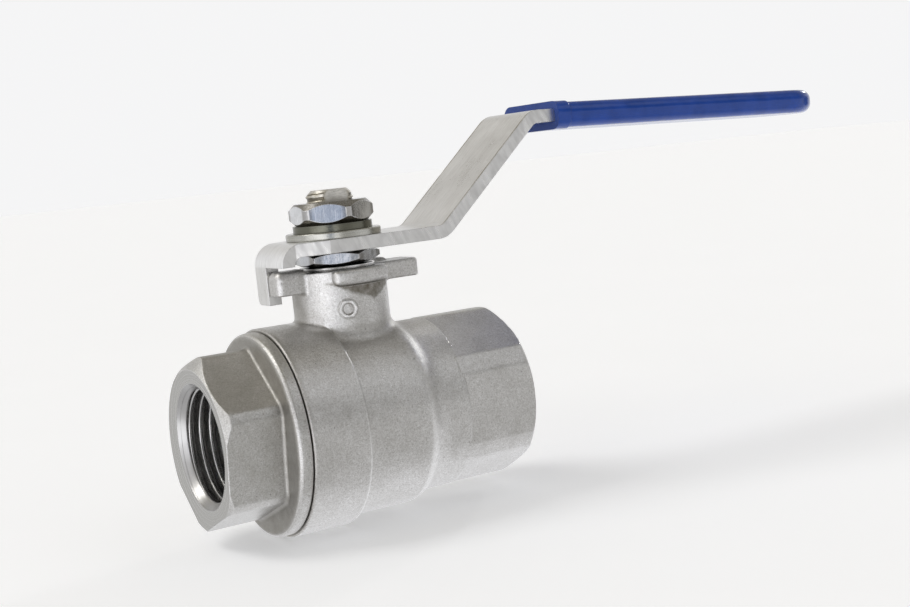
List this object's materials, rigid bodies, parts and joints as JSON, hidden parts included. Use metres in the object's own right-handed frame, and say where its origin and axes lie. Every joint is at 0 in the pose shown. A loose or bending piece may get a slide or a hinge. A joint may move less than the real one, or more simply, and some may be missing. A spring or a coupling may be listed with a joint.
{
  "type": "ball valve",
  "caption": "Two-piece stainless ball valve with female pipe threads at both ends and a quarter-turn lever in a vinyl sleeve.",
  "frame": {"origin": "centre of the ball, where the pipe axis meets the stem axis", "axes": "+X along the pipe from the end cap to the body end, the way the lever points when the valve is open; +Z along the stem towards the handle nut"},
  "size_m": [0.1365, 0.0348, 0.0676],
  "materials": {
    "cast_stainless": "sand-blasted cast stainless steel",
    "cast_stainless_cap": "sand-blasted cast stainless steel, machined face",
    "ptfe_gasket": "white PTFE",
    "polished_ball": "polished stainless steel",
    "ptfe_seat_cap": "white PTFE",
    "ptfe_seat_body": "white PTFE",
    "turned_stem": "turned stainless steel",
    "ptfe_thrust": "white PTFE",
    "ptfe_packing_bottom": "white PTFE",
    "ptfe_packing_middle": "white PTFE",
    "ptfe_packing_top": "white PTFE",
    "turned_gland": "turned stainless steel",
    "spring_steel_disc": "stainless spring steel",
    "polished_nut_low": "bright cold-formed stainless steel",
    "pressed_lever": "tumbled stainless sheet",
    "pressed_washer": "bright stainless sheet",
    "spring_washer": "stainless spring steel",
    "polished_nut_top": "bright cold-formed stainless steel",
    "vinyl_sleeve": "glossy dip-moulded vinyl"
  },
  "bodies": {
    "housing": {"body": "cast_stainless", "end_cap": "cast_stainless_cap", "body_gasket": "ptfe_gasket", "seat_ring_cap_side": "ptfe_seat_cap", "seat_ring_body_side": "ptfe_seat_body", "thrust_washer": "ptfe_thrust", "packing_ring_bottom": "ptfe_packing_bottom", "packing_ring_middle": "ptfe_packing_middle", "packing_ring_top": "ptfe_packing_top", "gland_ring": "turned_gland"},
    "lever_and_stem": {"stem": "turned_stem", "disc_spring": "spring_steel_disc", "stem_nut": "polished_nut_low", "lever_handle": "pressed_lever", "flat_washer": "pressed_washer", "spring_lock_washer": "spring_washer", "handle_nut": "polished_nut_top", "grip_sleeve": "vinyl_sleeve"},
    "closing_ball": {"ball": "polished_ball"}
  },
  "joints": [
    {"name": "lever_turn", "type": "hinge", "parent": "housing", "child": "lever_and_stem", "pos_m": [0, 0, 0], "axis": [0, 0, 1], "range_deg": [-90, 0]},
    {"name": "ball_turn", "type": "hinge", "parent": "housing", "child": "closing_ball", "pos_m": [0, 0, 0], "axis": [0, 0, 1], "range_deg": [-90, 0]}
  ],
  "couplings": [
    {"joint": "ball_turn", "follows": "lever_turn", "ratio": 1}
  ]
}
